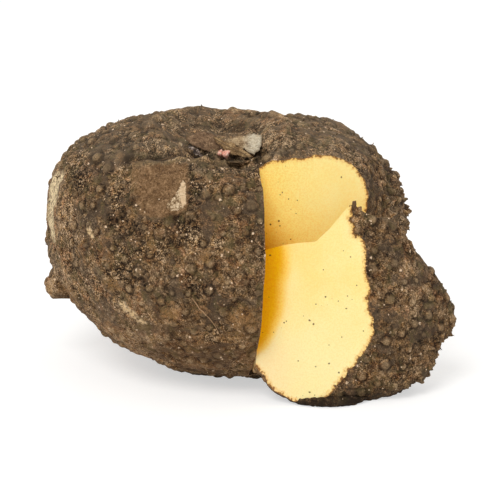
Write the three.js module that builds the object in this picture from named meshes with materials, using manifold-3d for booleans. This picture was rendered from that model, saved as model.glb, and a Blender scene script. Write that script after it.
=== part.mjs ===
// Elephant foot yam: the corm of Amorphophallus paeoniifolius, with a slice cut from its front shoulder and
// stood back in the notch that it left. Millimetres, +Z up, +Y towards the back, resting on z = 0.
// It is laid out about the corm's axis, and moved at the end so the origin is under the middle of its box.
import * as THREE from "three";
import { mergeVertices } from "three/addons/utils/BufferGeometryUtils.js";
import Module from "manifold-3d";

const wasm = await Module();
wasm.setup();

// The rind of a piece is a rounded body about a vertical axis. Each of its four sides says how far it reaches
// from the axis, how high its widest point is, and how square its outline is above and below that point,
// where 2 is an ellipse, a larger number is squarer and a smaller one slopes straighter to the base. Lumps
// swell it outwards round a point, and hollows, which have a height below zero, sink it.
const CORM = {
  axis: [0, 8],
  base: { at: [8, 4], height: -6 },
  crown: { at: [0, -18], height: 153 },
  sides: {
    right: { reach: 110, waist: 82, upper: 2.4, lower: 2.3 },
    back: { reach: 92, waist: 80, upper: 2.6, lower: 2.3 },
    left: { reach: 109, waist: 80, upper: 2.9, lower: 1.9 },
    front: { reach: 106, waist: 78, upper: 1.85, lower: 2.3 },
  },
  lumps: [
    { at: [68, -48, 132], spread: 24, height: 7.6 },
    { at: [90, -52, 95], spread: 24, height: -6 },
    { at: [16, -60, 140], spread: 20, height: -6.8 },
    { at: [62, 20, 130], spread: 30, height: 4.8 },
    { at: [-70, 25, 125], spread: 30, height: 3.2 },
    { at: [95, -10, 110], spread: 26, height: -3 },
    { at: [24, 32, 148], spread: 20, height: -3 },
    { at: [-30, 96, 100], spread: 34, height: 4 },
    { at: [52, 92, 60], spread: 30, height: -4 },
    { at: [-88, 50, 118], spread: 30, height: -4 },
  ],
};
const SLICE = {
  axis: [50, -50],
  base: { at: [8, -16], height: -4 },
  crown: { at: [-5, -6], height: 124 },
  sides: {
    right: { reach: 83, waist: 38, upper: 1.6, lower: 2.1 },
    back: { reach: 50, waist: 55, upper: 2.2, lower: 2.2 },
    left: { reach: 50, waist: 55, upper: 2.4, lower: 2 },
    front: { reach: 37, waist: 26, upper: 2.2, lower: 2.2 },
  },
  lumps: [
    { at: [70, -70, 112], spread: 13, height: 4.5 },
    { at: [92, -62, 97], spread: 14, height: 6 },
    { at: [82, -76, 88], spread: 18, height: -4.6 },
    { at: [88, -80, 62], spread: 15, height: -1.6 },
    { at: [92, -82, 42], spread: 22, height: -2.4 },
    { at: [132, -55, 18], spread: 16, height: -6 },
    { at: [80, -84, 8], spread: 15, height: -3.8 },
    { at: [134, -50, 46], spread: 16, height: 2.5 },
  ],
};
const FLOOR = { at: [0, 0, 0], normal: [0, 0, -1] };

// The dished scar on the crown, where last season's leaf stalk stood, ringed by ridges of old leaf bases.
const CRATER = { at: [-3, -27], across: 34, along: 38, depth: 9, lip: 2.2, ridge: 1, ridges: 2.6 };

// A cormel that has begun to swell from the corm's left side.
const CORMEL = { at: [-101, -4, 50], radii: [9, 9, 12], lean: 0.5 };

// The two knife cuts that made the notch, and the three that shape the slice as it stands. Each is a point
// on the cut and the direction in which material is taken away.
const NOTCH = {
  side: { at: [20, -58, 138], normal: [1, 0.155, -0.048] },
  back: { at: [20, -58, 138], normal: [0.1, -1, 0] },
};
const CUTS = {
  face: { at: [74.5, -71, 112], normal: [-0.08, -0.98, 0.15] },
  rear: { at: [73.7, -70.2, 116.5], normal: [-0.213, 0.969, 0.123] },
  step: { at: [53, -72, 94.2], normal: [0.017, 0.991, 0.133] },
};
const CLEARANCE = 0.5;
const BEYOND = 600;

// The sprouting bud in the crater, and the dry papery scales that stand round it. turn is about the vertical,
// lean is backwards from upright, roll is in the scale's own face, and sink is how far its foot is buried.
const BUD = { at: [0, -43.5], radii: [3.8, 3, 4.6], lean: -0.5, sink: 2 };
const SCALES = {
  bud_scale_left: { at: [-12, -34], size: [21, 13], bow: 2.2, turn: -0.12, lean: 0.85, roll: 0.1, sink: 2.6 },
  bud_scale_right: { at: [12, -34], size: [23, 13], bow: 2, turn: 0.18, lean: 0.8, roll: -0.12, sink: 2.6 },
  bud_scale_fold: { at: [10, -43.5], size: [17, 5], bow: 1, turn: 0.1, lean: 0.9, roll: -0.45, sink: 0 },
  bud_scale_curl: { at: [-14, -46], size: [13, 5], bow: 1.6, turn: -0.3, lean: 0.5, roll: 0.3, sink: 0 },
};
const SCALE_THICKNESS = 1;
const BEDDING = 0.35;

// Root threads, each by points across the front (x, z) or over the crown (x, y), lying on the rind.
const THREADS = {
  root_thread_front: { over: "front", through: [[-17, 68], [-13.5, 61], [-8, 54.5], [-1.5, 44]] },
  root_thread_crown: { over: "crown", through: [[26, -38], [30, -34], [34, -35], [40, -30]] },
};
const THREAD_RADIUS = 0.5;

// The rings of a rind's mesh crowd towards the crown, where the shape is finest.
const CORM_MESH = { around: 72, upward: 50, crowding: 0.055 };
const SLICE_MESH = { around: 64, upward: 34, crowding: 0 };

function solidOf(geometry) {
  const bare = geometry.clone();
  bare.deleteAttribute("normal");
  bare.deleteAttribute("uv");
  const merged = mergeVertices(bare, 1e-4);
  return new wasm.Manifold(
    new wasm.Mesh({
      numProp: 3,
      vertProperties: merged.attributes.position.array,
      triVerts: new Uint32Array(merged.index.array),
    }),
  );
}

function geometryOf(solid) {
  const { vertProperties, triVerts } = solid.getMesh();
  const geometry = new THREE.BufferGeometry();
  geometry.setAttribute("position", new THREE.BufferAttribute(vertProperties, 3));
  geometry.setIndex(new THREE.BufferAttribute(triVerts, 1));
  return geometry;
}

// A side's value at an angle round the axis: full on its own side, and shared with its neighbour between.
function around(rind, angle, key) {
  const { right, back, left, front } = rind.sides;
  const across = Math.cos(angle);
  const along = Math.sin(angle);
  return (across > 0 ? right : left)[key] * across ** 2 + (along > 0 ? back : front)[key] * along ** 2;
}

// A point of a rind, by its angle round the axis and its angle above the waist.
function rindPoint(rind, angle, rise) {
  const { right, back, left, front } = rind.sides;
  const up = rise > 0;
  const end = up ? rind.crown : rind.base;
  const squareness = around(rind, angle, up ? "upper" : "lower");
  const waist = around(rind, angle, "waist");
  const across = Math.cos(angle);
  const along = Math.sin(angle);
  const flat = Math.cos(rise);
  const steep = Math.abs(Math.sin(rise));
  const stretch = (flat ** squareness + steep ** squareness) ** (-1 / squareness);
  const out = flat * stretch;
  const over = steep * stretch;
  return new THREE.Vector3(
    rind.axis[0] + end.at[0] * over ** 2 + across * (across > 0 ? right : left).reach * out,
    rind.axis[1] + end.at[1] * over ** 2 + along * (along > 0 ? back : front).reach * out,
    waist + (end.height - waist) * over,
  );
}

function swell(rind, point) {
  const heart = new THREE.Vector3(...rind.axis, rind.sides.left.waist);
  const way = point.clone().sub(heart).normalize();
  const total = rind.lumps.reduce((sum, { at, spread, height }) => {
    const from = point.distanceTo(new THREE.Vector3(...at)) / spread;
    return sum + height * Math.exp(-(from ** 2));
  }, 0);
  return point.addScaledVector(way, total);
}

function dishCrown(point) {
  const { at, across, along, depth, lip, ridge, ridges } = CRATER;
  if (point.z < CORM.sides.left.waist) return point;
  const from = Math.hypot((point.x - at[0]) / across, (point.y - at[1]) / along);
  const dish = 1 - THREE.MathUtils.smoothstep(from, 0.5, 1.1);
  const edge = Math.exp(-(((from - 1.2) / 0.25) ** 2));
  const ring = Math.cos(2 * Math.PI * ridges * from) * Math.exp(-(((from - 1) / 0.5) ** 2));
  return point.setZ(point.z - depth * dish + lip * edge + ridge * ring);
}

// A closed mesh over a rind, with one vertex at each pole. finish moves each point after it has swollen.
function rindSolid(rind, mesh, finish = (point) => point) {
  const shape = (angle, rise) => finish(swell(rind, rindPoint(rind, angle, rise)));
  const level = (j) => j / mesh.upward + mesh.crowding * Math.sin((Math.PI * j) / mesh.upward) ** 2;
  const points = [shape(0, -Math.PI / 2)];
  for (let j = 1; j < mesh.upward; j++) {
    for (let i = 0; i < mesh.around; i++) {
      points.push(shape((2 * Math.PI * i) / mesh.around, Math.PI * (level(j) - 0.5)));
    }
  }
  points.push(shape(0, Math.PI / 2));
  const ring = (j, i) => 1 + (j - 1) * mesh.around + (i % mesh.around);
  const index = [];
  for (let i = 0; i < mesh.around; i++) {
    index.push(0, ring(1, i + 1), ring(1, i));
    index.push(points.length - 1, ring(mesh.upward - 1, i), ring(mesh.upward - 1, i + 1));
    for (let j = 1; j < mesh.upward - 1; j++) {
      index.push(ring(j, i), ring(j, i + 1), ring(j + 1, i + 1));
      index.push(ring(j, i), ring(j + 1, i + 1), ring(j + 1, i));
    }
  }
  const geometry = new THREE.BufferGeometry().setFromPoints(points);
  geometry.setIndex(index);
  return solidOf(geometry);
}

// Everything on the far side of a cut, as a block far larger than the yam.
function beyond({ at, normal }, offset = 0) {
  const way = new THREE.Vector3(...normal).normalize();
  const turn = new THREE.Quaternion().setFromUnitVectors(new THREE.Vector3(0, 0, 1), way);
  const block = new THREE.BoxGeometry(BEYOND, BEYOND, BEYOND);
  block.translate(0, 0, BEYOND / 2 + offset);
  block.applyQuaternion(turn);
  block.translate(...at);
  return solidOf(block);
}

function cormelSolid() {
  const ball = new THREE.SphereGeometry(1, 20, 14);
  ball.scale(...CORMEL.radii);
  ball.rotateY(CORMEL.lean);
  ball.translate(...CORMEL.at);
  return solidOf(ball);
}

function cormSolid() {
  const notch = beyond(NOTCH.side).intersect(beyond(NOTCH.back));
  return rindSolid(CORM, CORM_MESH, dishCrown).add(cormelSolid()).subtract(beyond(FLOOR)).subtract(notch);
}

// The slice thins to an edge along its top, where its face meets its stepped rear cut.
function sliceSolid() {
  const side = { at: NOTCH.side.at, normal: NOTCH.side.normal.map((n) => -n) };
  const rear = beyond(CUTS.rear).intersect(beyond(CUTS.step));
  return rindSolid(SLICE, SLICE_MESH)
    .subtract(beyond(FLOOR))
    .subtract(beyond(CUTS.face))
    .subtract(rear)
    .subtract(beyond(side, -CLEARANCE));
}

// Where a line down on to the crown, or in from the front, first meets the corm.
function onRind(cormMesh, over, [x, other]) {
  const down = over === "crown";
  const from = down ? new THREE.Vector3(x, other, BEYOND) : new THREE.Vector3(x, -BEYOND, other);
  const way = down ? new THREE.Vector3(0, 0, -1) : new THREE.Vector3(0, 1, 0);
  const [hit] = new THREE.Raycaster(from, way).intersectObject(cormMesh);
  return { point: hit.point, away: hit.face.normal.clone() };
}

// What stands in the crater stops just short of the corm, so the two never share a surface.
function bed(solid, corm) {
  return solid.subtract(corm.translate([0, 0, BEDDING]));
}

function budSolid(cormMesh, corm) {
  const { point } = onRind(cormMesh, "crown", BUD.at);
  const tip = new THREE.SphereGeometry(1, 18, 12);
  tip.rotateX(Math.PI / 2);
  const position = tip.attributes.position;
  for (let i = 0; i < position.count; i++) {
    const taper = 1 - 0.45 * Math.max(position.getZ(i), 0) ** 2;
    position.setXY(i, position.getX(i) * taper, position.getY(i) * taper);
  }
  tip.scale(...BUD.radii);
  tip.rotateX(-BUD.lean);
  tip.translate(point.x, point.y, point.z + BUD.sink);
  return bed(solidOf(tip), corm);
}

function scaleSolid({ at, size, bow, turn, lean, roll, sink }, cormMesh, corm) {
  const { point } = onRind(cormMesh, "crown", at);
  const blade = new THREE.SphereGeometry(1, 24, 10);
  blade.rotateX(Math.PI / 2);
  blade.rotateX(Math.PI / 2);
  blade.scale(size[0] / 2, SCALE_THICKNESS / 2, size[1] / 2);
  const position = blade.attributes.position;
  for (let i = 0; i < position.count; i++) {
    const across = position.getX(i) / (size[0] / 2);
    position.setY(i, position.getY(i) - bow * across ** 2);
  }
  blade.rotateY(roll);
  blade.rotateX(-lean);
  blade.rotateZ(turn);
  blade.translate(point.x, point.y, point.z + (size[1] / 2) * Math.cos(lean) - sink);
  return bed(solidOf(blade), corm);
}

function threadSolid({ over, through }, cormMesh) {
  const path = new THREE.SplineCurve(through.map((place) => new THREE.Vector2(...place)));
  const steps = 16;
  const sides = 8;
  const points = path.getPoints(steps).map(({ x, y }) => {
    const { point, away } = onRind(cormMesh, over, [x, y]);
    return point.addScaledVector(away, THREAD_RADIUS + BEDDING);
  });
  const line = new THREE.CatmullRomCurve3(points);
  const tube = new THREE.TubeGeometry(line, steps, THREAD_RADIUS, sides, false);
  return solidOf(capped(tube, line, steps, sides));
}

// A tube's two open ends, closed by a fan from the ends of its line.
function capped(tube, line, steps, sides) {
  const index = [...tube.index.array];
  const ends = [...line.getPoint(0).toArray(), ...line.getPoint(1).toArray()];
  const points = [...tube.attributes.position.array, ...ends];
  const start = tube.attributes.position.count;
  const last = steps * (sides + 1);
  for (let i = 0; i < sides; i++) {
    index.push(start, i, i + 1);
    index.push(start + 1, last + i + 1, last + i);
  }
  const geometry = new THREE.BufferGeometry();
  geometry.setAttribute("position", new THREE.Float32BufferAttribute(points, 3));
  geometry.setIndex(index);
  return geometry;
}

const MATERIALS = {
  rind: new THREE.MeshStandardMaterial({ color: 0x66503a, roughness: 0.85, metalness: 0 }),
  bud: new THREE.MeshStandardMaterial({ color: 0xd8a08c, roughness: 0.5, metalness: 0 }),
  scale: new THREE.MeshStandardMaterial({ color: 0xb29a78, roughness: 0.8, metalness: 0 }),
  thread: new THREE.MeshStandardMaterial({ color: 0x8a6f4e, roughness: 0.9, metalness: 0 }),
};

function node(name, solid, material) {
  const mesh = new THREE.Mesh(geometryOf(solid), material);
  mesh.name = name;
  mesh.geometry.computeVertexNormals();
  return mesh;
}

const yam = new THREE.Group();
const corm = cormSolid();
const cormMesh = node("yam_corm", corm, MATERIALS.rind);
yam.add(cormMesh);
yam.add(node("cut_slice", sliceSolid(), MATERIALS.rind));
yam.add(node("apical_bud", budSolid(cormMesh, corm), MATERIALS.bud));
for (const [name, scale] of Object.entries(SCALES)) {
  yam.add(node(name, scaleSolid(scale, cormMesh, corm), MATERIALS.scale));
}
for (const [name, thread] of Object.entries(THREADS)) {
  yam.add(node(name, threadSolid(thread, cormMesh), MATERIALS.thread));
}

const box = new THREE.Box3().setFromObject(yam);
const middle = box.getCenter(new THREE.Vector3());
yam.position.set(-middle.x, -middle.y, -box.min.z);

export default yam;
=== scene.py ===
import math

import bmesh
import bpy
import numpy as np
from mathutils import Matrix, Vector
from mathutils.kdtree import KDTree

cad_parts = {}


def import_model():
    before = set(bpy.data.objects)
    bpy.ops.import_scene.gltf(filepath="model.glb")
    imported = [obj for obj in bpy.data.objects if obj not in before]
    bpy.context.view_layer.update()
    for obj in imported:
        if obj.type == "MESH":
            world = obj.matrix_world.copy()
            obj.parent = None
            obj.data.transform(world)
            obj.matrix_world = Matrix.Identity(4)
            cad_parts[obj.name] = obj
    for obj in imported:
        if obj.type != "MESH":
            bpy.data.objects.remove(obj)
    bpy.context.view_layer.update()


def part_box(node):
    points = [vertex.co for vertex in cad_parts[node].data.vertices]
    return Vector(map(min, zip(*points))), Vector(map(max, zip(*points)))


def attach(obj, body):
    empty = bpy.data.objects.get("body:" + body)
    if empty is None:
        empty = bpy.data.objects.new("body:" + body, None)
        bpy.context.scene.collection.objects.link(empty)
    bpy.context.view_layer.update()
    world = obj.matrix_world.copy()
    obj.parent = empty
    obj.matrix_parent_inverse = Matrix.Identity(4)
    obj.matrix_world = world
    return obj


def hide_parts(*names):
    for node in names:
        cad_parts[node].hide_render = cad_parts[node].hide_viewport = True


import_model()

# Elephant foot yam with a slice stood back in its notch. Lengths are millimetres in the layout frame of the
# CAD source, whose origin is the corm's axis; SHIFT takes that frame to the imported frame.
CORM_LOW_CORNER = (-110.77, -97.99, 0.0)
SHIFT = np.array(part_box("yam_corm")[0]) * 1000 - np.array(CORM_LOW_CORNER)
MM = 0.001
IN_RIND, IN_FLESH = 0, 1  # material slots of the two bodies

CORM = {
    "axis": (0, 8),
    "base": (8, 4, -6),
    "crown": (0, -18, 153),
    "reach": {"right": 110, "back": 92, "left": 109, "front": 106},
    "waist": {"right": 82, "back": 80, "left": 80, "front": 78},
    "upper": {"right": 2.4, "back": 2.6, "left": 2.9, "front": 1.85},
    "lower": {"right": 2.3, "back": 2.3, "left": 1.9, "front": 2.3},
    "lumps": [
        ((68, -48, 132), 24, 7.6),
        ((90, -52, 95), 24, -6),
        ((16, -60, 140), 20, -6.8),
        ((62, 20, 130), 30, 4.8),
        ((-70, 25, 125), 30, 3.2),
        ((95, -10, 110), 26, -3),
        ((24, 32, 148), 20, -3),
        ((-30, 96, 100), 34, 4),
        ((52, 92, 60), 30, -4),
        ((-88, 50, 118), 30, -4),
    ],
}
SLICE = {
    "axis": (50, -50),
    "base": (8, -16, -4),
    "crown": (-5, -6, 124),
    "reach": {"right": 83, "back": 50, "left": 50, "front": 37},
    "waist": {"right": 38, "back": 55, "left": 55, "front": 26},
    "upper": {"right": 1.6, "back": 2.2, "left": 2.4, "front": 2.2},
    "lower": {"right": 2.1, "back": 2.2, "left": 2, "front": 2.2},
    "lumps": [
        ((70, -70, 112), 13, 4.5),
        ((92, -62, 97), 14, 6),
        ((82, -76, 88), 18, -4.6),
        ((88, -80, 62), 15, -1.6),
        ((92, -82, 42), 22, -2.4),
        ((132, -55, 18), 16, -6),
        ((80, -84, 8), 15, -3.8),
        ((134, -50, 46), 16, 2.5),
    ],
}
CRATER = {"at": (-3, -27), "across": 34, "along": 38, "depth": 9, "lip": 2.2}
# The brow along the front of the crater, as (x, y), its rise, and the depth of the groove behind it.
BROW = [(-56, -60), (-41, -64), (-28, -65.5), (-18, -63), (-8, -56), (4, -50), (14, -48), (22, -50)]
BROW_RISE, BROW_GROOVE = 1.9, 4.0
CORMEL = {"at": (-101, -4, 50), "radii": (9, 9, 12), "lean": 0.5, "blend": 2.5}
# Planes of the cuts: a point on each and its normal.
NOTCH_SIDE = ((20, -58, 138), (1, 0.155, -0.048))
NOTCH_BACK = ((20, -58, 138), (0.1, -1, 0))
CUT_FACE = ((74.5, -71, 112), (-0.08, -0.98, 0.15))
CUT_REAR = ((73.7, -70.2, 116.5), (-0.213, 0.969, 0.123))
CUT_STEP = ((53, -72, 94.2), (0.017, 0.991, 0.133))
CLEARANCE = 0.5
# Each body's grid frequency, the direction it is finest in and how much finer, and how far its rind crumbles.
CORM_GRID, CORM_CRUMBLE = (94, (0.0, -1.0, 0.25), 1.55), 1.0
SLICE_GRID, SLICE_CRUMBLE = (72, (0.2, -1.0, 0.0), 1.3), 0.45
# Large and small warts: the range of their radius, the rise for each mm of radius, and the spacing.
WART = {"least": 1.8, "spread": 1.8, "rise": 0.48, "spacing": 9.8}
SMALL_WART = {"least": 1.0, "most": 1.7, "rise": 0.5, "spacing": 4.6}
# Height over the surroundings, close by and farther out, that the materials take as full relief.
FINE_RELIEF, BROAD_RELIEF = 0.35, 1.4
# Roots start above this height. Patches of flesh with fewer faces than this are no more than a grazed wart.
GROUND_BAND = 3
SMALL_ISLAND = 400
# How far behind the cut face, and how far outside its outline, the flap still counts as rind.
FLAP_DEPTH, FLAP_MARGIN = 1.5, -0.2
# Rings and spokes of a papery scale and of a lobe of the bud.
SCALE_GRID, BUD_GRID = (26, 110), (30, 36)
# The photo's camera in the layout frame, a metre from its target, and the floor's gap in metres.
VIEW_TARGET, VIEW_ELEVATION = (15, -20, 75), math.radians(15)
LENS, SENSOR = 120, 36
FLOOR_GAP = 0.0002

rng = np.random.default_rng(41)
GRADIENTS = rng.normal(size=(4096, 3))
GRADIENTS /= np.linalg.norm(GRADIENTS, axis=1, keepdims=True)


# ---------------------------------------------------------------- numbers and noise
def unit(v):
    v = np.asarray(v, float)
    return v / np.linalg.norm(v, axis=-1, keepdims=True)


def smoothstep(x, low, high):
    t = np.clip((x - low) / (high - low), 0, 1)
    return t * t * (3 - 2 * t)


def bell(x, middle, width):
    """1 at the middle, and falling away smoothly to both sides."""
    return np.exp(-(((x - middle) / width) ** 2))


def spot(x, z, at, radii):
    """A bell in two directions, 1 at its middle."""
    return np.exp(-(((x - at[0]) / radii[0]) ** 2) - ((z - at[1]) / radii[1]) ** 2)


def noise(points, size, seed=0):
    """Smooth noise between about -1 and 1, with features about size across."""
    p = points / size + seed * 7.31
    cell = np.floor(p).astype(np.int64)
    f = p - cell
    s = f * f * f * (f * (f * 6 - 15) + 10)
    total = np.zeros(len(p))
    for corner in np.ndindex(2, 2, 2):
        c = cell + corner
        key = (c[:, 0] * 73856093) ^ (c[:, 1] * 19349663) ^ (c[:, 2] * 83492791) ^ (seed * 2654435)
        weight = np.prod(np.where(corner, s, 1 - s), axis=1)
        total += weight * np.einsum("ij,ij->i", GRADIENTS[key & 4095], f - corner)
    return total * 1.7


def noise_vectors(points, size, seed):
    return np.stack([noise(points, size, seed + k) for k in range(3)], axis=1)


# ---------------------------------------------------------------- the rind's shape
def by_side(values, across, along):
    """A measure's values on the sides that a direction points to, across and along."""
    x = np.where(across > 0, values["right"], values["left"])
    y = np.where(along > 0, values["back"], values["front"])
    return x, y


def share_sides(values, across, along):
    x, y = by_side(values, across, along)
    return x * across**2 + y * along**2


def rind_points(rind, way):
    """Points of a rind in the given directions, by each side's reach, waist and squareness."""
    flat = np.maximum(np.hypot(way[:, 0], way[:, 1]), 1e-9)
    across, along = way[:, 0] / flat, way[:, 1] / flat
    up = way[:, 2] > 0
    rise = np.abs(way[:, 2])
    n = np.where(up, share_sides(rind["upper"], across, along), share_sides(rind["lower"], across, along))
    stretch = (flat**n + rise**n) ** (-1 / n)
    out, over = flat * stretch, rise * stretch
    end_x, end_y, end_z = (np.where(up, crown, base) for crown, base in zip(rind["crown"], rind["base"]))
    waist = share_sides(rind["waist"], across, along)
    reach_x, reach_y = by_side(rind["reach"], across, along)
    points = np.stack(
        [
            rind["axis"][0] + end_x * over**2 + across * reach_x * out,
            rind["axis"][1] + end_y * over**2 + along * reach_y * out,
            waist + (end_z - waist) * over,
        ],
        axis=1,
    )
    heart = np.array([*rind["axis"], rind["waist"]["left"]])
    swell = np.zeros(len(points))
    for at, spread, height in rind["lumps"]:
        swell += height * bell(np.linalg.norm(points - at, axis=1), 0, spread)
    return points + unit(points - heart) * swell[:, None]


def crater_from(points):
    """Distance from the crater's middle, where 1 is about its rim."""
    x = (points[:, 0] - CRATER["at"][0]) / CRATER["across"]
    y = (points[:, 1] - CRATER["at"][1]) / CRATER["along"]
    return np.hypot(x, y)


def past_brow(points):
    """How far behind the brow a point is, and how much of the brow there is at its x."""
    x, y = points[:, 0], points[:, 1]
    line = np.interp(x, *np.transpose(BROW))
    past = y - line + 1.1 * noise(points * (1, 1, 0), 9, 4)
    return past, smoothstep(x, -62, -52) * smoothstep(x, 31, 22)


def dish_crown(points):
    """The crater sunk in the crown, with its lip, its rings and the brow that rises in the middle."""
    start = crater_from(points) + 0.05 * noise(points, 14, 3)
    drop = (
        -CRATER["depth"] * (1 - smoothstep(start, 0.5, 1.1))
        + CRATER["lip"] * bell(start, 1.2, 0.25)
        + 0.7 * np.cos(2 * np.pi * 3.4 * start) * bell(start, 1.1, 0.55)
    )
    past, share = past_brow(points)
    middle = smoothstep(points[:, 0], -18, -8) * smoothstep(points[:, 0], 25, 15)
    middle += 0.75 * bell(points[:, 0], 9, 7)
    brow = BROW_RISE * (1 + 1.1 * middle) * bell(past, 0, 2.2) - BROW_GROOVE * bell(past, 7, 2.8)
    drop += share * brow
    points[:, 2] += np.where(points[:, 2] > CORM["waist"]["left"], drop, 0)
    return points


def join_cormel(points):
    """The rind pushed out over the small cormel on its left side."""
    heart = np.array([0, 8, 60.0])
    lean, blend = CORMEL["lean"], CORMEL["blend"]
    turn = np.array([[math.cos(lean), 0, math.sin(lean)], [0, 1, 0], [-math.sin(lean), 0, math.cos(lean)]])
    way = unit(points - heart)
    local = (heart - np.array(CORMEL["at"])) @ turn / CORMEL["radii"]
    step = way @ turn / CORMEL["radii"]
    a = np.einsum("ij,ij->i", step, step)
    b = step @ local
    disc = b * b - a * (local @ local - 1)
    reach = np.where(disc > 0, (-b + np.sqrt(np.maximum(disc, 0))) / a, 0)
    now = np.linalg.norm(points - heart, axis=1)
    out = np.where(reach > 0, blend * np.logaddexp(now / blend, reach / blend), now)
    fade = smoothstep(reach, 60, 90)
    return heart + way * (now + (out - now) * fade)[:, None]


def sphere_grid(frequency, toward, pull):
    """Even triangles over a unit sphere, finer by pull towards one direction."""
    bm = bmesh.new()
    bmesh.ops.create_icosphere(bm, subdivisions=1, radius=1)
    seeds = np.array([v.co for v in bm.verts])
    sides = [[v.index for v in f.verts] for f in bm.faces]
    bm.free()
    steps = [(i, j) for i in range(frequency + 1) for j in range(frequency + 1 - i)]
    place = {ij: k for k, ij in enumerate(steps)}
    ij = np.array(steps)
    weights = np.stack([frequency - ij.sum(axis=1), ij[:, 0], ij[:, 1]], axis=1) / frequency
    local = [(place[i, j], place[i + 1, j], place[i, j + 1]) for i, j in steps if i + j < frequency]
    local += [
        (place[i + 1, j], place[i + 1, j + 1], place[i, j + 1]) for i, j in steps if i + j < frequency - 1
    ]
    local = np.array(local)
    points = np.concatenate([unit(weights @ seeds[s]) for s in sides])
    tris = np.concatenate([local + k * len(steps) for k in range(len(sides))])
    rounded = np.round(points * 1e5).astype(np.int64)
    _, first, back = np.unique(rounded, axis=0, return_index=True, return_inverse=True)
    points, tris = points[first], back.reshape(-1)[tris]
    axis = unit(toward)
    level = points @ axis
    aside = points - level[:, None] * axis
    size = np.maximum(np.linalg.norm(aside, axis=1, keepdims=True), 1e-12)
    angle = 2 * np.arctan(np.tan(np.arccos(np.clip(level, -1, 1)) / 2) / pull)
    return axis * np.cos(angle)[:, None] + aside / size * np.sin(angle)[:, None], tris


# ---------------------------------------------------------------- mesh helpers
def vertex_normals(points, tris):
    a, b, c = (points[tris[:, k]] for k in range(3))
    face = np.cross(b - a, c - a)
    normals = np.stack(
        [sum(np.bincount(tris[:, k], face[:, d], len(points)) for k in range(3)) for d in range(3)], axis=1
    )
    return unit(normals)


def edges_of(tris):
    pairs = np.sort(np.concatenate([tris[:, [0, 1]], tris[:, [1, 2]], tris[:, [2, 0]]]), axis=1)
    return np.unique(pairs, axis=0)


def smoothed(values, edges, rounds):
    """Values averaged over each vertex's neighbours, several times."""
    count = np.bincount(edges.ravel(), minlength=len(values))
    for _ in range(rounds):
        total = np.stack(
            [
                np.bincount(edges[:, 0], column[edges[:, 1]], len(values))
                + np.bincount(edges[:, 1], column[edges[:, 0]], len(values))
                for column in values.reshape(len(values), -1).T
            ],
            axis=1,
        )
        values = 0.5 * values + 0.5 * (total / count[:, None]).reshape(values.shape)
    return values


def nearest(points, targets):
    """For each point, the distance to the nearest target and which target that is."""
    tree = KDTree(len(targets))
    for k, target in enumerate(targets.tolist()):
        tree.insert(target, k)
    tree.balance()
    found = [tree.find(p)[1:] for p in points.tolist()]
    return np.array([f[1] for f in found]), np.array([f[0] for f in found])


def scatter(points, spacing, chance):
    """Seeded pick of vertices that keep each its own spacing from the others, thinned to a chance."""
    cell = float(spacing.max())
    grid, kept = {}, []
    for k in rng.permutation(len(points)):
        p = points[k]
        home = tuple(np.floor(p / cell).astype(int))
        near = [
            q
            for dx in (-1, 0, 1)
            for dy in (-1, 0, 1)
            for dz in (-1, 0, 1)
            for q in grid.get((home[0] + dx, home[1] + dy, home[2] + dz), ())
        ]
        if all(math.dist(p, points[q]) > min(spacing[k], spacing[q]) for q in near):
            grid.setdefault(home, []).append(k)
            kept.append(k)
    return np.array([k for k in kept if rng.random() < chance[k]])


def link(name, data):
    """An object for a mesh, lamp or camera, in the scene."""
    made = bpy.data.objects.new(name, data)
    bpy.context.scene.collection.objects.link(made)
    return made


def make_object(name, points, faces, materials):
    """A mesh object from points in the layout frame."""
    mesh = bpy.data.meshes.new(name)
    mesh.from_pydata(((points + SHIFT) * MM).tolist(), [], np.asarray(faces).tolist())
    for material in materials:
        mesh.materials.append(material)
    mesh.update()
    return link(name, mesh)


def read_mesh(mesh):
    points = np.empty(len(mesh.vertices) * 3)
    mesh.vertices.foreach_get("co", points)
    tris = np.empty(len(mesh.polygons) * 3, np.int64)
    mesh.polygons.foreach_get("vertices", tris)
    slots = np.empty(len(mesh.polygons), np.int64)
    mesh.polygons.foreach_get("material_index", slots)
    return points.reshape(-1, 3) / MM - SHIFT, tris.reshape(-1, 3), slots


def triangulate(mesh, outward=False):
    """The mesh in triangles, with its faces turned outward on request."""
    bm = bmesh.new()
    bm.from_mesh(mesh)
    if outward:
        bmesh.ops.recalc_face_normals(bm, faces=bm.faces)
    bmesh.ops.triangulate(bm, faces=bm.faces)
    bm.to_mesh(mesh)
    bm.free()


def swept(name, sheet, way):
    """A cutter: the sheet of points swept along way, closed, with every face in the flesh slot."""
    rows, columns = sheet.shape[:2]
    near = np.arange(rows * columns).reshape(rows, columns)
    far = near + rows * columns
    quads = [
        np.stack([near[:-1, :-1], near[1:, :-1], near[1:, 1:], near[:-1, 1:]], -1).reshape(-1, 4),
        np.stack([far[:-1, :-1], far[:-1, 1:], far[1:, 1:], far[1:, :-1]], -1).reshape(-1, 4),
        np.stack([near[:-1, 0], far[:-1, 0], far[1:, 0], near[1:, 0]], -1),
        np.stack([near[1:, -1], far[1:, -1], far[:-1, -1], near[:-1, -1]], -1),
        np.stack([near[0, 1:], far[0, 1:], far[0, :-1], near[0, :-1]], -1),
        np.stack([near[-1, :-1], far[-1, :-1], far[-1, 1:], near[-1, 1:]], -1),
    ]
    points = sheet.reshape(-1, 3)
    made = make_object(name, np.concatenate([points, points + way]), np.concatenate(quads), (RIND, FLESH))
    made.data.polygons.foreach_set("material_index", np.full(len(made.data.polygons), IN_FLESH))
    triangulate(made.data, outward=True)
    return made


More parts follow.
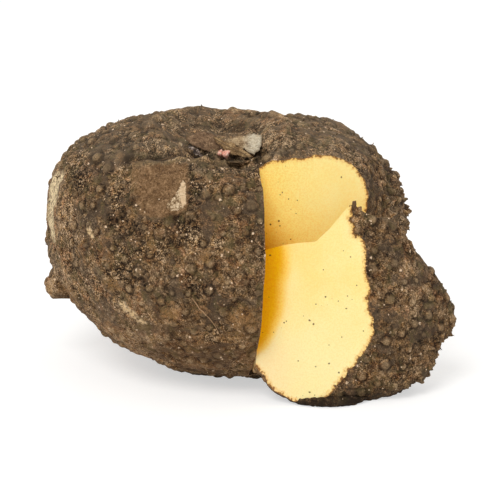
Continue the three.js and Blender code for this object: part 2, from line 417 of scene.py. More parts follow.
def cut(body, cutters):
    """The body's mesh with every cutter taken away, in triangles."""
    for cutter in cutters:
        cutter_cut = body.modifiers.new("cut", "BOOLEAN")
        cutter_cut.operation, cutter_cut.solver, cutter_cut.object = "DIFFERENCE", "MANIFOLD", cutter
    shape = body.evaluated_get(bpy.context.evaluated_depsgraph_get())
    mesh = bpy.data.meshes.new_from_object(shape)
    body.modifiers.clear()
    old = body.data
    body.data = mesh
    bpy.data.meshes.remove(old)
    for cutter in cutters:
        bpy.data.objects.remove(cutter)
    triangulate(mesh)


def plane_y(cut_plane, x, z):
    """Where a cut that faces mostly front or back lies, as y over x and z."""
    at, normal = cut_plane
    return at[1] - ((x - at[0]) * normal[0] + (z - at[2]) * normal[2]) / normal[1]


def set_attribute(mesh, name, values, kind="FLOAT"):
    attribute = mesh.attributes.new(name, kind, "POINT")
    attribute.data.foreach_set("value" if kind == "FLOAT" else "vector", np.asarray(values, float).ravel())


def shade(mesh, points, tris, slots):
    """Smooth, but for the rind's edge along a cut and the corners where two cuts meet."""
    a, b, c = (points[tris[:, k]] for k in range(3))
    face = unit(np.cross(b - a, c - a) + 1e-12)
    key = {}
    for f, tri in enumerate(tris.tolist()):
        for v, w in ((tri[0], tri[1]), (tri[1], tri[2]), (tri[2], tri[0])):
            key.setdefault((min(v, w), max(v, w)), []).append(f)
    pairs = np.empty(len(mesh.edges) * 2, np.int64)
    mesh.edges.foreach_get("vertices", pairs)
    sharp = np.zeros(len(mesh.edges), bool)
    for e, (v, w) in enumerate(np.sort(pairs.reshape(-1, 2), axis=1).tolist()):
        near = key.get((v, w), ())
        if len(near) == 2:
            f, g = near
            bend = slots[f] == IN_FLESH and slots[g] == IN_FLESH and face[f] @ face[g] < 0.8
            sharp[e] = slots[f] != slots[g] or bend
    mesh.shade_smooth()
    mesh.attributes.new("sharp_edge", "BOOLEAN", "EDGE").data.foreach_set("value", sharp)


# ---------------------------------------------------------------- markings on the rind
def inside(corners, x, z):
    """Signed distance to a closed outline in the front view, above zero inside."""
    corners = np.asarray(corners, float)
    distance = np.full(len(x), 1e9)
    within = np.zeros(len(x), bool)
    for (ax, az), (bx, bz) in zip(corners, np.roll(corners, -1, axis=0)):
        t = np.clip(((x - ax) * (bx - ax) + (z - az) * (bz - az)) / ((bx - ax) ** 2 + (bz - az) ** 2), 0, 1)
        distance = np.minimum(distance, np.hypot(x - ax - t * (bx - ax), z - az - t * (bz - az)))
        crosses = (az > z) != (bz > z)
        with np.errstate(divide="ignore", invalid="ignore"):
            within ^= crosses & (x < (bx - ax) * (z - az) / (bz - az) + ax)
    return np.where(within, distance, -distance)


# Outlines in the front view, as (x, z).
SCAR = [(-51.5, 136), (-36, 137.5), (-20.6, 137.7), (-19, 128), (-20.1, 116.3), (-27, 112), (-35.2, 110.7),
        (-46.5, 111.9), (-50.8, 123.7)]
SCAR_CHIP = [(-22.4, 129.6), (-20.8, 127), (-20.6, 119), (-22.4, 116.4), (-29, 114.6), (-33, 116.6),
             (-29, 120.4), (-25.6, 124.6)]
LOW_PATCHES = [[(-60, 60), (-57, 61), (-50, 55.5), (-44, 48.5), (-46, 47), (-53, 52)],
               [(-77, 103), (-75, 103), (-75.5, 98), (-73, 95.5), (-75, 94.5), (-78, 97)]]
# Rind left standing at the slice's peak.
RIND_FLAP = [(71.6, 122), (73.0, 112), (72.6, 106), (74.2, 102.5), (73.6, 98.6), (77.5, 97.5), (80.5, 92),
             (98, 92), (98, 122)]
PIT_PATCHES = [[(-66, 108), (-58, 112), (-47, 107), (-45, 99), (-58, 96)],
               [(-27, 111), (-14, 112), (-12, 106), (-24, 104)],
               [(-60, 80), (-50, 82), (-44, 74), (-56, 71)],
               [(-92, 129), (-81, 131), (-77, 121), (-88, 116)],
               # This patch right of the scar is painted shade.
               [(-19.2, 136), (-14.5, 134), (-12.5, 124), (-15, 117), (-18.6, 118)],
               [(-20, 75), (-12, 77), (-9, 70), (-18, 68)]]
# The strip is given across the left side, as (y, z).
LEFT_STRIP = [(-12, 123), (-7, 109), (-13, 100), (-14, 92), (-24, 84), (-35, 82), (-32, 92), (-31, 100),
              (-32, 109), (-30, 123)]
# Golden, crumbling places as middle and radii in the front view, and the crater's hollows from above.
GOLD = [((11, 56), (10, 7)), ((-10, 92), (3.2, 3.8)), ((-40.4, 96.5), (3, 4.4)), ((-93, 52), (8, 7)),
        ((-64, 70), (6, 4)), ((4, 43), (8, 4)), ((-30, 57), (6, 3))]
HOLES = [((-14, -45), (9, 8)), ((7, -45), (11, 7)), ((19, -44), (6, 8))]


def outlined(corners, x, z, stray, low, high):
    """0 outside an outline to 1 inside it, its edge moved by stray and blurred from low to high."""
    return smoothstep(inside(corners, x, z) + stray, low, high)


def from_middle(oval, x, y, stray):
    """Distance from an oval's middle, where 1 is its edge."""
    (mx, my), (rx, ry) = oval
    return np.hypot((x - mx) / rx, (y - my) / ry) + stray


def any_of(masks):
    return np.max(list(masks), axis=0)


def marks(points, crumble):
    """Masks from 0 to 1 for the places where the rind isn't the common warty skin."""
    x, y, z = points.T
    front, high = y < 0, z > 100
    ragged = 1.0 * noise(points, 4, 21) + 0.6 * noise(points, 1.8, 22)
    soft = 0.8 + 1.8 * smoothstep(-x, 38, 48)
    chip = front * outlined(SCAR_CHIP, x, z, 0.7 * ragged, -0.6, 0.6)
    low = any_of(outlined(patch, x, z, 1.3 * ragged, -0.5, 0.9) for patch in LOW_PATCHES)
    gold = any_of(smoothstep(from_middle(oval, x, z, 0.25 * ragged), 1.3, 0.5) for oval in GOLD)
    pits = any_of(outlined(patch, x, z, 2.2 * ragged, -2.5, 2.5) for patch in PIT_PATCHES)
    hole = high * any_of(smoothstep(from_middle(oval, x, y, 0.2 * ragged), 1.15, 0.7) for oval in HOLES)
    past, share = past_brow(points)
    on_brow = share * (z > 122)
    crown = smoothstep(z, 106, 128)
    broken = noise(points, 19, 31) + 0.5 * noise(points, 8, 32)
    if crumble == CORM_CRUMBLE:
        peeling = smoothstep(x, 84, 96) * smoothstep(z, 72, 86) * smoothstep(z, 126, 114)
    else:
        peeling = 0.8 * smoothstep(x - 0.8 * z, 90, 106)
    return {
        "scar": front * outlined(SCAR, x, z, ragged * soft, -soft, soft),
        "chip": chip,
        "chip_edge": chip * smoothstep(x + 0.25 * (z - 122) + 0.6 * ragged, -25.4, -22.8),
        "strip": (x < -60) * outlined(LEFT_STRIP, y, z, 2.2 * ragged, -1.5, 2.5),
        "low": front * low,
        "gold": front * gold,
        "pits": front * pits,
        "bowl": high * (1 - smoothstep(crater_from(points), 0.75, 1.05)),
        "hole": hole,
        # Painted shade in the crater's holes, fainter over the middle one, and in the groove behind the brow;
        # the brow's lip is painted paler.
        "painted_shade": hole * (1 - 0.8 * smoothstep(x, -6, 0) * smoothstep(x, 21, 15)),
        "groove": on_brow * smoothstep(past, 0.6, 2.4) * smoothstep(past + 3 * ragged, 12, 6),
        "lip": on_brow * bell(past, -0.6, 1.3),
        "rugged": crumble * smoothstep(broken + 0.4 * crown, 0, 0.5),
        "crumbly": smoothstep(-x - 0.6 * z + 12 * noise(points, 18, 23), -10, 40),
        "right_side": smoothstep(x - 0.4 * z, 20, 50),
        # Painted shade: the upper left is toned darker.
        "upper_left": smoothstep(-x + 0.5 * z, 70, 110),
        "low_down": smoothstep(z + 10 * noise(points, 22, 24), 70, 24) * smoothstep(x, 60, 20),
        "peeling": peeling,
    }


# ---------------------------------------------------------------- the rind's surface
def wart_relief(points, centres, radius, rise):
    """Height of the domes over each point, each with a shallow moat at its foot."""
    distance, which = nearest(points, points[centres])
    wobble = 1 + 0.19 * noise(points, 2.8, 13) + 0.12 * noise(points, 1.3, 14)
    ratio = distance * wobble / radius[which]
    dome = np.clip(1 - ratio**2, 0, 1) ** 0.7
    ringed = bell(ratio, 0.62, 0.1) * (which % 3 == 0) * (radius[which] > 2.3)
    return radius[which] * rise * dome - 0.24 * bell(ratio, 1.16, 0.22) - 0.2 * ringed, ratio


def roughen(points, tris, warty, crumble, cut_plane):
    """The smooth rind given its lumps, grit, creases and warts, and where its warts are."""
    normals = vertex_normals(points, tris)
    mark = marks(points, crumble)
    calm = np.clip(mark["scar"] + mark["strip"] + 0.7 * mark["bowl"] + mark["groove"], 0, 1)
    bent = points + 1.6 * noise_vectors(points, 7, 16)
    crown = smoothstep(points[:, 2], 106, 128)
    rugged = mark["rugged"]
    height = 1.5 * noise(points, 30, 1) + 1.4 * noise(points, 13, 2) + 0.5 * noise(points, 7, 43)
    bark = 0.55 * noise(bent, 7.5, 3) + 0.26 * noise(bent, 3.6, 7) + 0.12 * noise(points, 1.5, 6)
    bark += rugged * (0.9 * (np.abs(noise(bent, 5.4, 4)) - 0.3) + 0.36 * noise(bent, 3.0, 5))
    bark += 0.55 * crown * noise(bent * (0.35, 0.8, 1.3), 3.6, 15)
    long_crease = bell(noise(bent, 13, 11), 0, 0.045) * smoothstep(noise(points, 26, 12), -0.2, 0.2)
    short_crease = bell(noise(bent * (0.5, 0.5, 1.4), 9, 19), 0, 0.04) * smoothstep(rugged, 0.2, 0.7)
    bark -= 0.8 * np.maximum(long_crease, short_crease)
    height += bark * (1 - 0.6 * calm)
    height -= 1.2 * mark["pits"] * smoothstep(noise(points, 2.3, 8), -0.05, 0.35)
    height += mark["scar"] * 0.9 - 0.6 * mark["chip"] - 0.5 * mark["strip"] - 3.2 * mark["hole"]
    height += 3.6 * mark["peeling"] * np.clip((noise(bent, 4.4, 41) - 0.2) / 0.42, 0, 1)
    height += 4.2 * spot(points[:, 0], points[:, 2], (122, 12), (9, 12))
    spacing, chance = warty(points, calm)
    small_chance = 0.4 * chance * smoothstep(noise(points, 16, 10), -0.3, 0.4)
    big = scatter(points, spacing, chance)
    small = scatter(points, SMALL_WART["spacing"] + 0 * spacing, small_chance)
    big_radius = (WART["least"] + WART["spread"] * rng.random(len(big)) ** 1.5) * (1 + 0.15 * crown[big])
    big_height, ratio = wart_relief(points, big, big_radius, WART["rise"])
    small_radius = rng.uniform(SMALL_WART["least"], SMALL_WART["most"], len(small))
    small_height, _ = wart_relief(points, small, small_radius, SMALL_WART["rise"])
    height = np.where(ratio < 1, height - 0.7 * bark * (1 - ratio), height) + big_height
    height += small_height * smoothstep(ratio, 0.8, 1.3)
    at, normal = cut_plane
    height *= 0.55 + 0.45 * smoothstep(np.abs((points - at) @ unit(normal)), 0.5, 4)
    rough = points + normals * height[:, None]
    rough[:, 2] = np.maximum(rough[:, 2], 0)
    return rough, {"centres": rough[big], "radius": big_radius, "tone": rng.random(len(big))}


def corm_warts(points, calm):
    """Spacing and chance of a wart: fewer and wider apart low on the left and on the crown."""
    left_low = smoothstep(-points[:, 0] - 0.6 * points[:, 2] + 10, 10, 60)
    crown = smoothstep(points[:, 2], 118, 134)
    chance = np.clip(0.95 - 0.95 * calm - 0.4 * left_low - 0.3 * crown, 0, 1)
    return WART["spacing"] + 1.4 * left_low + 0.6 * crown + 3.2 * noise(points, 22, 9), chance


def slice_warts(points, _):
    return WART["spacing"] + 2.4 * noise(points, 22, 9), np.full(len(points), 0.84)


def absorb_islands(mesh, tris, slots):
    """Flesh in small patches, where a cut only grazed a wart, goes back to rind."""
    owner = np.arange(tris.max() + 1)
    flesh = np.flatnonzero(slots == IN_FLESH)
    before = None
    while before is None or (owner != before).any():
        low = owner[tris[flesh]].min(axis=1)
        before = owner.copy()
        for k in range(3):
            np.minimum.at(owner, tris[flesh, k], low)
        owner = owner[owner]
    group = owner[tris[flesh, 0]]
    names, count = np.unique(group, return_counts=True)
    slots[flesh[np.isin(group, names[count < SMALL_ISLAND])]] = IN_RIND
    mesh.polygons.foreach_set("material_index", slots)
    return slots


def touched(tris, count):
    """Which of the vertices any of the triangles uses."""
    used = np.zeros(count, bool)
    used[tris] = True
    return used


def finish_rind(body, warts, crumble, flesh_marks):
    """Attributes for the materials, worked out on the cut mesh; gives the bare rind's points and normals."""
    mesh = body.data
    points, tris, slots = read_mesh(mesh)
    slots = absorb_islands(mesh, tris, slots)
    edges = edges_of(tris)
    normals = vertex_normals(points, tris)
    fine = np.einsum("ij,ij->i", points - smoothed(points, edges, 6), normals)
    broad = np.einsum("ij,ij->i", points - smoothed(points, edges, 40), normals)
    on_rind = touched(tris[slots == IN_RIND], len(points))
    on_flesh = touched(tris[slots == IN_FLESH], len(points))
    rim, _ = nearest(points, points[on_rind & on_flesh])
    distance, which = nearest(points, warts["centres"])
    radius = warts["radius"][which]
    for name, values in {
        "relief": np.clip(fine / FINE_RELIEF, -1, 1),
        "hollow": np.clip(broad / BROAD_RELIEF, -1, 1),
        "rim": rim,
        "wart": 1 - smoothstep(distance / radius, 1.3, 1.6),
        "wart_tone": warts["tone"][which],
        **marks(points, crumble),
        **flesh_marks(points),
    }.items():
        set_attribute(mesh, name, values)
    set_attribute(mesh, "wart_offset", (points - warts["centres"][which]) / radius[:, None], "FLOAT_VECTOR")
    shade(mesh, points, tris, slots)
    bare = on_rind & ~on_flesh & (points[:, 2] > GROUND_BAND)
    return {"points": points[bare], "normals": normals[bare]}


# ---------------------------------------------------------------- node materials
def linear(colour):
    """A colour given as it looks on screen, from 0 to 255, as the shader's linear values."""
    return tuple((c / 255 / 12.92) if c <= 10 else ((c / 255 + 0.055) / 1.055) ** 2.4 for c in colour) + (1,)


def is_socket(value):
    return isinstance(value, bpy.types.NodeSocket)


class Nodes:
    """The node tree of a material or world, written as nested calls."""

    def __init__(self, owner, output):
        owner.use_nodes = True
        self.tree = owner.node_tree
        self.tree.nodes.clear()
        self.out = self.tree.nodes.new(output)

    def node(self, kind, inputs, **settings):
        made = self.tree.nodes.new(kind)
        for key, value in settings.items():
            setattr(made, key, value)
        for key, value in inputs.items():
            if is_socket(value):
                self.tree.links.new(value, made.inputs[key])
            else:
                made.inputs[key].default_value = value
        return made

    def math(self, operation, first, *others):
        for other in others:
            first = self.node("ShaderNodeMath", {0: first, 1: other}, operation=operation).outputs[0]
        return first

    def plus(self, *terms):
        return self.math("ADD", *terms)

    def minus(self, a, b):
        return self.math("SUBTRACT", a, b)

    def times(self, *factors):
        return self.math("MULTIPLY", *factors)

    def larger(self, *values):
        return self.math("MAXIMUM", *values)

    def seen(self):
        """1 for rays that reach the camera straight, by a mirror or through glass, else 0."""
        path = self.node("ShaderNodeLightPath", {}).outputs
        return self.larger(path["Is Camera Ray"], path["Is Glossy Ray"], path["Is Transmission Ray"])

    def either(self, amount, a, b):
        """Shader a, turning into shader b as amount goes from 0 to 1."""
        return self.node("ShaderNodeMixShader", {0: amount, 1: a, 2: b}).outputs[0]

    def show(self, shader):
        self.tree.links.new(shader, self.out.inputs["Surface"])


class Paint(Nodes):
    """A material. Positions are in millimetres, and colours as they look on screen, from 0 to 255."""

    def __init__(self, name):
        self.material = bpy.data.materials.new(name)
        super().__init__(self.material, "ShaderNodeOutputMaterial")
        place = self.tree.nodes.new("ShaderNodeTexCoord").outputs["Object"]
        self.place = self.vector("SCALE", {0: place, "Scale": 1 / MM})

    def vector(self, operation, inputs):
        made = self.node("ShaderNodeVectorMath", inputs, operation=operation)
        return made.outputs["Value" if operation == "LENGTH" else "Vector"]

    def upright(self, vector):
        return self.node("ShaderNodeSeparateXYZ", {0: vector}).outputs[2]

    def noise(self, size, detail=2.0, rough=0.55, twist=0.0, place=None, seed=0.0):
        place = self.place if place is None else place
        if seed:
            place = self.vector("ADD", {0: place, 1: (seed, seed * 1.7, -seed)})
        kind = {"Detail": detail, "Roughness": rough, "Distortion": twist}
        return self.node("ShaderNodeTexNoise", {"Vector": place, "Scale": 1 / size, **kind}).outputs["Fac"]

    def flecks(self, size, radius, least, shift, channel, stray, fade):
        """Ragged dots in those cells of a size whose random lot is over the least, with their edges moved by
        stray and soft down to the share fade of their radius."""
        place = self.vector("ADD", {0: self.place, 1: shift})
        cells = self.node("ShaderNodeTexVoronoi", {"Vector": place, "Scale": 1 / size}).outputs
        lot = self.node("ShaderNodeSeparateColor", {0: cells["Color"]}).outputs[channel]
        dot = self.between(self.plus(cells["Distance"], stray), radius, radius * fade)
        return self.times(dot, self.between(lot, least, least + 0.02))

    def attribute(self, name, output="Fac"):
        return self.node("ShaderNodeAttribute", {}, attribute_name=name).outputs[output]

    def between(self, value, low, high, to_low=0.0, to_high=1.0):
        inputs = {"Value": value, "From Min": low, "From Max": high, "To Min": to_low, "To Max": to_high}
        return self.node("ShaderNodeMapRange", inputs, interpolation_type="SMOOTHSTEP").outputs["Result"]

    def swing(self, value, reach):
        """A noise's departure from its middle, times reach."""
        return self.times(self.minus(value, 0.5), reach)

    def mix(self, amount, a, b, blend="MIX"):
        a, b = (c if is_socket(c) else linear(c) for c in (a, b))
        inputs = {0: amount, 6: a, 7: b}
        return self.node("ShaderNodeMix", inputs, data_type="RGBA", blend_type=blend).outputs[2]

    def coat(self, under, mask, amount, colour, blend="MIX"):
        """The colour under it, covered by another as far as the mask and the amount say."""
        return self.mix(self.times(mask, amount), under, colour, blend)

    def ramp(self, value, stops):
        made = self.node("ShaderNodeValToRGB", {"Fac": value})
        band = made.color_ramp
        while len(band.elements) < len(stops):
            band.elements.new(0.5)
        for element, (at, colour) in zip(band.elements, stops):
            element.position, element.color = at, linear(colour)
        return made.outputs["Color"]

    def finish(self, colour, grain, rough, height, bump, specular, depth=(0.0, (1.0, 0.2, 0.1), 50.0)):
        """The surface: rough gives the roughness where the grain is low and high, bump its distance and
        strength, and depth how much light goes under the skin, its radius by colour and its scale."""
        distance, strength = bump
        weight, radius, scale = depth
        inputs = {"Height": height, "Distance": distance * MM, "Strength": strength}
        inputs = {
            "Base Color": colour,
            "Roughness": self.between(grain, 0.3, 0.7, *rough),
            "Normal": self.node("ShaderNodeBump", inputs).outputs["Normal"],
            "Specular IOR Level": specular,
            "Subsurface Weight": weight,
            "Subsurface Radius": radius,
            "Subsurface Scale": scale * MM,
        }
        self.show(self.node("ShaderNodeBsdfPrincipled", inputs).outputs[0])
        return self.material


def rind_material():
    p = Paint("rind_skin")
    patch = p.noise(26, 3, 0.5)
    mottle = p.noise(5.0, 5, 0.66, 0.6, seed=11.0)
    grain = p.noise(1.2, 3, 0.65, 1.1, seed=23.0)
    grit = p.noise(0.78, 2, 0.6, seed=43.0)
    relief, hollow = p.attribute("relief"), p.attribute("hollow")
    near = p.attribute("wart")
    offset = p.attribute("wart_offset", "Vector")
    from_tip = p.vector("LENGTH", {0: offset})
    # Tone: speckled, strongest where the rind is rugged or crumbly and weaker on the warts.
    strength = p.larger(
        p.between(p.attribute("rugged"), 0.0, 1.0, 0.57, 1.35), p.times(p.attribute("crumbly"), 1.08)
    )
    on_wart = p.times(p.between(from_tip, 1.2, 0.8), near)
    strength = p.times(strength, p.between(on_wart, 0.0, 1.0, 1.0, 0.75))
    speckle = p.times(p.minus(p.plus(p.times(grain, 0.36), p.times(grit, 0.74)), 0.55), strength)
    tone = p.plus(p.times(mottle, 0.42), 0.285, speckle, p.swing(patch, 0.16))
    # The upper left is toned darker: painted shade.
    for name, change in (("crumbly", 0.05), ("upper_left", -0.02), ("peeling", 0.02), ("low_down", 0.012)):
        tone = p.plus(tone, p.times(p.attribute(name), change))
    # Painted light and shade: places that stand out toned paler, sunken places darker.
    tone = p.plus(tone, p.times(relief, 0.035), p.times(hollow, 0.025))
    colour = p.ramp(
        tone,
        [
            (0.36, (24, 16, 9)),
            (0.44, (66, 50, 33)),
            (0.50, (104, 82, 59)),
            (0.56, (144, 117, 86)),
            (0.65, (222, 190, 152)),
        ],
    )
    # Large patches of other hues: reddish, warm, smooth grey, olive and crumbled tan.
    red = p.between(p.noise(8, 4, 0.7, seed=5.0), 0.50, 0.62)
    colour = p.coat(colour, red, 0.45, (236, 190, 164), "MULTIPLY")
    warm = p.between(p.noise(3.0, 4, 0.72, seed=61.0), 0.46, 0.62)
    colour = p.coat(colour, warm, 0.7, (255, 234, 192), "MULTIPLY")
    smooth_grey = p.between(p.noise(15, 4, 0.62, 0.5, seed=71.0), 0.49, 0.57)
    colour = p.coat(colour, smooth_grey, 0.62, (88, 73, 58))
    olive = p.between(p.noise(9, 4, 0.62, 0.4, seed=31.0), 0.52, 0.62)
    colour = p.coat(colour, olive, 0.5, (98, 86, 54))
    tan = p.times(p.between(p.noise(10, 5, 0.7, 0.8, seed=57.0), 0.55, 0.63), p.between(grain, 0.42, 0.58))
    colour = p.coat(colour, tan, 0.7, (164, 124, 84))
    colour = p.coat(colour, p.attribute("low_down"), 0.2, (136, 94, 56))
    level = p.upright(p.place)
    # Painted light: the crown's top painted paler and greyer, as lit from above.
    colour = p.coat(colour, p.between(level, 128, 142), 0.14, (158, 141, 116))
    # Creases painted dark, partly dirt and partly painted shade, and what stands out painted paler, partly
    # wear and partly painted highlight.
    colour = p.coat(colour, p.between(relief, -0.25, -0.95), 0.46, (34, 24, 15))
    raised_wear_and_highlight = p.times(p.between(relief, 0.25, 0.95), p.between(grain, 0.35, 0.6))
    colour = p.coat(colour, raised_wear_and_highlight, 0.3, (158, 132, 100))
    # Wart domes: a painted shadow round the foot, most on the underside, and a worn, paler tip on a few.
    wart_tone = p.attribute("wart_tone")
    foot_shadow = p.times(
        p.between(from_tip, 0.62, 0.95),
        p.between(from_tip, 1.5, 1.1),
        near,
        p.between(p.upright(offset), 0.5, -0.6, 0.08, 0.5),
        p.between(wart_tone, 0.0, 0.7, 0.35, 1.0),
    )
    colour = p.mix(foot_shadow, colour, (42, 30, 19))
    colour = p.coat(colour, p.times(p.between(from_tip, 0.95, 0.6), near), 0.25, (106, 88, 62))
    worn = p.between(p.plus(wart_tone, p.times(p.attribute("right_side"), 0.3)), 0.55, 0.95)
    tip = p.times(p.between(from_tip, 0.85, 0.25), near, worn, p.between(grit, 0.34, 0.6))
    colour = p.coat(colour, tip, 0.74, (174, 146, 110))
    # Golden crumbs, then the brow's crest painted paler, partly wear and partly painted highlight, painted
    # shade in the groove and the hollows behind it, and painted shade near the ground.
    golden = p.times(p.attribute("gold"), p.between(grain, 0.38, 0.6))
    colour = p.coat(colour, golden, 0.7, (160, 120, 74))
    colour = p.coat(colour, p.times(p.attribute("lip"), p.between(grain, 0.36, 0.6)), 0.5, (140, 116, 76))
    colour = p.coat(colour, p.attribute("groove"), 0.68, (38, 27, 17))
    hole = p.times(p.attribute("painted_shade"), p.between(mottle, 0.66, 0.44, 0.45, 0.95))
    colour = p.mix(hole, colour, (26, 17, 11))
    # Painted shade low on the rind, near the ground.
    base = p.between(p.plus(level, p.times(mottle, 12.0)), 17.0, 7.0)
    colour = p.coat(colour, base, 0.6, (32, 23, 14))
    # Pits where the cork has crumbled, almost black between its crumbs: partly the cork's own colour and
    # partly painted shade in the recesses.
    pit = p.times(p.attribute("pits"), p.between(grain, 0.56, 0.42))
    colour = p.coat(colour, pit, 0.85, (22, 14, 8))
    # Scar plate, its pale chip, and the pale patches.
    plate = p.ramp(
        p.plus(p.times(mottle, 0.35), p.times(grain, 0.65)),
        [(0.36, (70, 47, 28)), (0.5, (124, 93, 62)), (0.64, (172, 138, 102))],
    )
    colour = p.coat(colour, p.attribute("scar"), 0.85, plate)
    pale = p.ramp(
        p.plus(p.times(p.noise(2.2, 4, 0.6), 0.5), p.times(grain, 0.5)),
        [(0.40, (96, 72, 46)), (0.49, (166, 138, 104)), (0.57, (232, 208, 174))],
    )
    chip = p.between(p.plus(p.attribute("chip"), p.swing(grain, 1.6)), 0.35, 0.8)
    colour = p.mix(chip, colour, pale)
    chip_edge = p.between(p.attribute("chip_edge"), 0.2, 0.9)
    colour = p.coat(colour, chip_edge, p.between(mottle, 0.36, 0.56, 0.35, 0.8), (232, 200, 160))
    streak = p.noise(1.7, 4, 0.7, 0.6, seed=88.0)
    for name, bright in (("strip", (255, 232, 184)), ("low", (232, 198, 148))):
        mask = p.attribute(name)
        colour = p.coat(colour, mask, 0.85, pale)
        colour = p.coat(colour, p.times(mask, p.between(streak, 0.45, 0.53)), 0.88, bright)
        colour = p.coat(colour, p.times(mask, p.between(streak, 0.43, 0.36)), 0.6, (92, 66, 40))
    # Sparse bright flecks, large and small.
    for size, radius, least, seed in ((6.0, 0.14, 0.74, 0.0), (2.6, 0.19, 0.87, 37.0)):
        fleck = p.flecks(size, radius, least, (seed, -seed, seed), 0, p.swing(grit, 0.4), 0.7)
        colour = p.mix(fleck, colour, (236, 206, 172))
    height = p.plus(p.times(grain, 0.9), p.times(grit, 0.5), p.times(p.noise(2.6, 4, 0.65, seed=7.0), 0.35))
    return p.finish(colour, grain, (0.7, 0.95), height, (0.9, 1.0), 0.15)


def flesh_material():
    p = Paint("corm_flesh")
    cloud = p.noise(22, 3, 0.5)
    fibre = p.noise(1.4, 4, 0.6, 0.5, seed=9.0)
    grain = p.noise(0.7, 3, 0.6, seed=19.0)
    deep, amber = p.attribute("deep"), p.attribute("amber")
    # Cream to yellow flesh, painted more amber and darker towards the notch's corner: painted shade with its
    # orange bounce light.
    colour = p.mix(p.between(cloud, 0.3, 0.7), (255, 229, 146), (255, 237, 165))
    colour = p.coat(colour, p.between(fibre, 0.45, 0.7), 0.25, (254, 238, 172))
    colour = p.mix(amber, colour, (255, 230, 136))
    colour = p.mix(p.attribute("creamy"), colour, (253, 238, 174))
    colour = p.coat(colour, p.attribute("blush"), 0.6, (253, 224, 172))
    colour = p.mix(p.between(deep, 0.0, 0.55), colour, (255, 218, 108))
    colour = p.mix(p.between(deep, 0.4, 1.0), colour, (242, 190, 4))
    # Darker blotches all over, strongest where the painted shade is.
    damp_and_shade = p.times(
        p.between(p.noise(0.9, 3, 0.7, seed=83.0), 0.42, 0.62),
        p.between(p.larger(deep, p.times(amber, 0.7)), 0.0, 1.0, 0.16, 0.5),
    )
    colour = p.mix(damp_and_shade, colour, (246, 204, 110), "MULTIPLY")
    # The browned rim along the skin, painted shade low down and dark specks.
    edge = p.plus(p.attribute("rim"), p.swing(p.noise(1.8, 3, 0.65, seed=2.0), 6.2))
    colour = p.coat(colour, p.between(edge, 3.0, 0.2), 0.62, (232, 168, 76))
    colour = p.coat(colour, p.between(edge, 0.95, 0.3), 0.9, (132, 88, 46))
    colour = p.mix(p.attribute("soiled"), colour, (62, 42, 24))
    for size, radius, least, seed in ((6.5, 0.105, 0.42, 0.0), (3.6, 0.13, 0.74, 29.0)):
        speck = p.flecks(size, radius, least, (seed, seed, -seed), 1, p.swing(grain, 0.16), 0.6)
        colour = p.coat(colour, speck, 0.9, (88, 54, 22))
    height = p.plus(p.times(fibre, 0.6), p.times(grain, 0.4))
    return p.finish(colour, fibre, (0.6, 0.75), height, (0.25, 0.6), 0.12, (0.12, (1.0, 0.6, 0.2), 1.5))


def dry_material(name, dark, middle, light, tip=None):
    """Streaked, crumbly dry skin, bleached to the tip colour at its right end."""
    p = Paint(name)
    across = p.attribute("across")
    lines = {0: p.times(across, 0.35), 1: p.times(p.attribute("along"), 2.6)}
    vein = p.noise(1.0, 3, 0.6, 0.4, place=p.node("ShaderNodeCombineXYZ", lines).outputs[0])
    blotch = p.noise(3.4, 4, 0.62, seed=13.0)
    fine = p.noise(0.7, 3, 0.6, seed=33.0)
    tone = p.plus(p.times(blotch, 0.42), p.times(vein, 0.26), p.times(fine, 0.36))
    colour = p.ramp(tone, [(0.42, dark), (0.52, middle), (0.61, light)])
    crumb = p.between(p.noise(0.9, 3, 0.7, seed=91.0), 0.60, 0.68)
    colour = p.coat(colour, crumb, 0.55, (48, 34, 22))
    if tip:
        bleached = p.between(p.plus(across, p.swing(blotch, 9.0)), 0.0, 6.5)
        streaked = p.between(p.plus(p.times(vein, 0.5), p.times(fine, 0.5)), 0.42, 0.56, 0.3, 0.82)
        colour = p.coat(colour, bleached, streaked, tip)
    colour = p.coat(colour, p.between(p.attribute("edge"), 0.82, 1.0), 0.55, dark)
    height = p.plus(p.times(vein, 0.7), p.times(fine, 0.5))
    return p.finish(colour, fine, (0.62, 0.85), height, (0.5, 0.8), 0.3)


def thread_material(name, dark, light):
    p = Paint(name)
    fine = p.noise(0.8, 3, 0.6, seed=27.0)
    tone = p.plus(p.times(p.attribute("lot"), 0.55), p.times(fine, 0.6))
    colour = p.mix(p.between(tone, 0.25, 0.85), dark, light)
    colour = p.coat(colour, p.between(p.attribute("along"), 0.3, 0.0), 0.4, dark)
    return p.finish(colour, fine, (0.7, 0.92), fine, (0.3, 0.7), 0.3)


def bud_material():
    p = Paint("bud_pink")
    blotch = p.noise(2.2, 4, 0.6, seed=51.0)
    streak = p.noise(1.0, 3, 0.6, place=p.vector("MULTIPLY", {0: p.place, 1: (1.6, 0.5, 0.5)}))
    along = p.attribute("along")
    tone = p.plus(p.times(blotch, 0.6), p.times(streak, 0.4))
    colour = p.ramp(tone, [(0.34, (164, 96, 78)), (0.48, (228, 160, 136)), (0.6, (255, 218, 196))])
    colour = p.mix(p.between(along, 0.35, 0.0), colour, (104, 62, 46))
    colour = p.coat(colour, p.between(along, 0.75, 1.0), 0.6, (246, 214, 192))
    return p.finish(colour, streak, (0.38, 0.6), tone, (0.35, 0.6), 0.45, (0.15, (1.0, 0.4, 0.3), 1.0))


